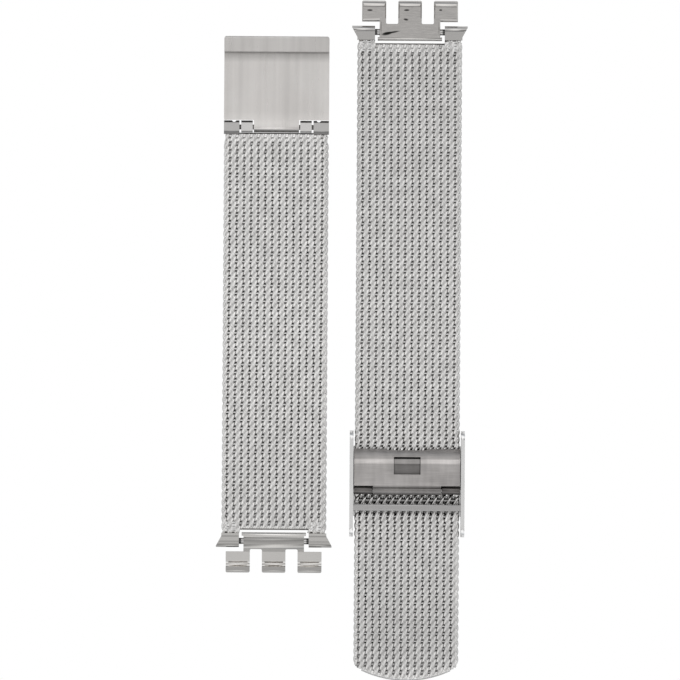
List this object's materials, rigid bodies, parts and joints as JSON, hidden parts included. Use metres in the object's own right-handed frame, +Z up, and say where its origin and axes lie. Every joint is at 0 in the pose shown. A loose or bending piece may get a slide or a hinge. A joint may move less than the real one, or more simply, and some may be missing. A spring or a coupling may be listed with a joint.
{
  "type": "mesh watch band",
  "caption": "Woven steel mesh watch band: short strap with hinged hook plate, long strap with sliding clasp and lock lid, and clip-on end links that pivot on pins.",
  "frame": {"origin": "centre of the laid-out band's footprint, on the surface it lies on", "axes": "+Y along the straps, towards the long strap's end link; +X from the short strap to the long strap; +Z up, the long strap's outer side"},
  "size_m": [0.0402, 0.1102, 0.0043],
  "materials": {
    "mesh_steel": "bright drawn wire, woven",
    "polished_steel": "polished",
    "brushed_steel": "brushed satin",
    "pin_steel": "drawn, ground smooth"
  },
  "bodies": {
    "middle": {"long_mesh_slide": "mesh_steel", "short_mesh_5": "mesh_steel"},
    "short_6": {"short_mesh_6": "mesh_steel"},
    "short_7": {"short_mesh_7": "mesh_steel"},
    "short_8": {"short_mesh_8": "mesh_steel"},
    "short_9": {"short_mesh_9": "mesh_steel"},
    "short_10": {"short_mesh_10": "mesh_steel", "hinge_shoulder_left": "polished_steel", "hinge_shoulder_right": "polished_steel", "hinge_sleeve_left": "polished_steel", "hinge_sleeve_right": "polished_steel", "hinge_pin": "pin_steel"},
    "hook_plate": {"hook_plate": "brushed_steel"},
    "short_4": {"short_mesh_4": "mesh_steel"},
    "short_3": {"short_mesh_3": "mesh_steel"},
    "short_2": {"short_mesh_2": "mesh_steel"},
    "short_1": {"short_mesh_1": "mesh_steel", "short_link_shoulder_left": "polished_steel", "short_link_shoulder_right": "polished_steel", "short_link_pin": "pin_steel"},
    "short_end_link": {"short_end_link": "polished_steel"},
    "long_8": {"long_mesh_8": "mesh_steel"},
    "long_7": {"long_mesh_7": "mesh_steel"},
    "long_6": {"long_mesh_6": "mesh_steel"},
    "long_5": {"long_mesh_5": "mesh_steel"},
    "long_4": {"long_mesh_4": "mesh_steel"},
    "long_3": {"long_mesh_3": "mesh_steel"},
    "long_2": {"long_mesh_2": "mesh_steel"},
    "long_1": {"long_mesh_1": "mesh_steel", "long_link_shoulder_left": "polished_steel", "long_link_shoulder_right": "polished_steel", "long_link_pin": "pin_steel"},
    "long_end_link": {"long_end_link": "polished_steel"},
    "long_9": {"long_mesh_9": "mesh_steel"},
    "long_tip": {"long_mesh_tip": "mesh_steel"},
    "slider": {"slider_frame": "polished_steel", "hook_bar": "brushed_steel", "lid_pin": "pin_steel", "lid_sleeve_left": "pin_steel", "lid_sleeve_right": "pin_steel"},
    "lid": {"lock_lid": "brushed_steel"}
  },
  "joints": [
    {"name": "short_flex_5", "type": "hinge", "parent": "middle", "child": "short_6", "pos_m": [-0.01075, 0.00074, 0.0008], "axis": [1, 0, 0], "range_deg": [-15, 22]},
    {"name": "short_flex_6", "type": "hinge", "parent": "short_6", "child": "short_7", "pos_m": [-0.01075, 0.00714, 0.0008], "axis": [1, 0, 0], "range_deg": [-15, 22]},
    {"name": "short_flex_7", "type": "hinge", "parent": "short_7", "child": "short_8", "pos_m": [-0.01075, 0.01354, 0.0008], "axis": [1, 0, 0], "range_deg": [-15, 22]},
    {"name": "short_flex_8", "type": "hinge", "parent": "short_8", "child": "short_9", "pos_m": [-0.01075, 0.01994, 0.0008], "axis": [1, 0, 0], "range_deg": [-15, 22]},
    {"name": "short_flex_9", "type": "hinge", "parent": "short_9", "child": "short_10", "pos_m": [-0.01075, 0.02634, 0.0008], "axis": [1, 0, 0], "range_deg": [-15, 22]},
    {"name": "plate_hinge", "type": "hinge", "parent": "short_10", "child": "hook_plate", "pos_m": [-0.01075, 0.03444, 0.00085], "axis": [1, 0, 0], "range_deg": [-75, 90]},
    {"name": "short_flex_4", "type": "hinge", "parent": "middle", "child": "short_4", "pos_m": [-0.01075, -0.00566, 0.0008], "axis": [-1, 0, 0], "range_deg": [-15, 22]},
    {"name": "short_flex_3", "type": "hinge", "parent": "short_4", "child": "short_3", "pos_m": [-0.01075, -0.01206, 0.0008], "axis": [-1, 0, 0], "range_deg": [-15, 22]},
    {"name": "short_flex_2", "type": "hinge", "parent": "short_3", "child": "short_2", "pos_m": [-0.01075, -0.01846, 0.0008], "axis": [-1, 0, 0], "range_deg": [-15, 22]},
    {"name": "short_flex_1", "type": "hinge", "parent": "short_2", "child": "short_1", "pos_m": [-0.01075, -0.02486, 0.0008], "axis": [-1, 0, 0], "range_deg": [-15, 22]},
    {"name": "short_link_pivot", "type": "hinge", "parent": "short_1", "child": "short_end_link", "pos_m": [-0.01075, -0.03258, 0.0009], "axis": [-1, 0, 0], "range_deg": [-45, 80]},
    {"name": "long_flex_8", "type": "hinge", "parent": "middle", "child": "long_8", "pos_m": [0.01075, -0.00218, 0.0014], "axis": [-1, 0, 0], "range_deg": [-15, 22]},
    {"name": "long_flex_7", "type": "hinge", "parent": "long_8", "child": "long_7", "pos_m": [0.01075, 0.00417, 0.0014], "axis": [-1, 0, 0], "range_deg": [-15, 22]},
    {"name": "long_flex_6", "type": "hinge", "parent": "long_7", "child": "long_6", "pos_m": [0.01075, 0.01052, 0.0014], "axis": [-1, 0, 0], "range_deg": [-15, 22]},
    {"name": "long_flex_5", "type": "hinge", "parent": "long_6", "child": "long_5", "pos_m": [0.01075, 0.01687, 0.0014], "axis": [-1, 0, 0], "range_deg": [-15, 22]},
    {"name": "long_flex_4", "type": "hinge", "parent": "long_5", "child": "long_4", "pos_m": [0.01075, 0.02322, 0.0014], "axis": [-1, 0, 0], "range_deg": [-15, 22]},
    {"name": "long_flex_3", "type": "hinge", "parent": "long_4", "child": "long_3", "pos_m": [0.01075, 0.02957, 0.0014], "axis": [-1, 0, 0], "range_deg": [-15, 22]},
    {"name": "long_flex_2", "type": "hinge", "parent": "long_3", "child": "long_2", "pos_m": [0.01075, 0.03592, 0.0014], "axis": [-1, 0, 0], "range_deg": [-15, 22]},
    {"name": "long_flex_1", "type": "hinge", "parent": "long_2", "child": "long_1", "pos_m": [0.01075, 0.04227, 0.0014], "axis": [-1, 0, 0], "range_deg": [-15, 22]},
    {"name": "long_link_pivot", "type": "hinge", "parent": "long_1", "child": "long_end_link", "pos_m": [0.01075, 0.04995, 0.0013], "axis": [-1, 0, 0], "range_deg": [-45, 80]},
    {"name": "tip_flex_1", "type": "hinge", "parent": "middle", "child": "long_9", "pos_m": [0.01075, -0.04282, 0.0014], "axis": [1, 0, 0], "range_deg": [-15, 22]},
    {"name": "tip_flex_2", "type": "hinge", "parent": "long_9", "child": "long_tip", "pos_m": [0.01075, -0.0479, 0.0014], "axis": [1, 0, 0], "range_deg": [-15, 22]},
    {"name": "slider_travel", "type": "slide", "parent": "middle", "child": "slider", "axis": [0, 1, 0], "range_m": [-0.01, 0.01]},
    {"name": "lid_hinge", "type": "hinge", "parent": "slider", "child": "lid", "pos_m": [0.01075, -0.0242, 0.00305], "axis": [1, 0, 0], "range_deg": [0, 75]}
  ]
}
